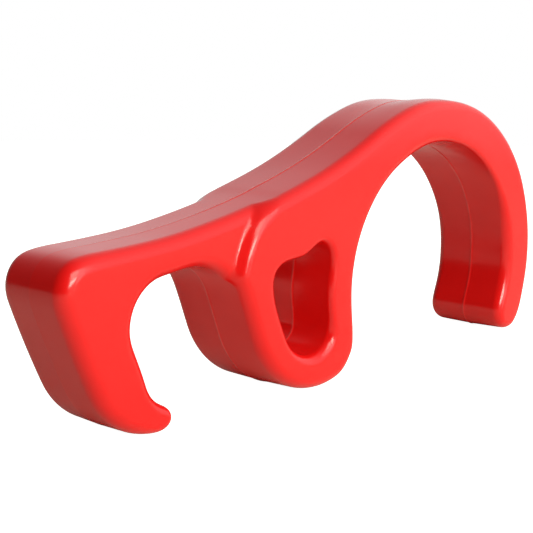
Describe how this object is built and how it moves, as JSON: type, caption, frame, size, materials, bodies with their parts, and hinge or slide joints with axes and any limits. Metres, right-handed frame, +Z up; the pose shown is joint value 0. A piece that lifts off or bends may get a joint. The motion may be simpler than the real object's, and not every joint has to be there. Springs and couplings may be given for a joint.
{
  "type": "beehive frame grip",
  "caption": "One-hand lever grip for lifting beehive frames: lipped hook and loop that straddle a top bar, slim arm, and a large open C-shaped hand hold.",
  "frame": {"origin": "centre of the footprint, on the plane that the hook, the loop and the hand hold rest on", "axes": "+X along the tool from the hook to the hand hold, +Y from the front half to the rear half, +Z up"},
  "size_m": [0.1704, 0.024, 0.066],
  "materials": {
    "red_plastic": "smooth gloss moulding"
  },
  "bodies": {
    "root": {"front_half": "red_plastic", "rear_half": "red_plastic"}
  },
  "joints": []
}
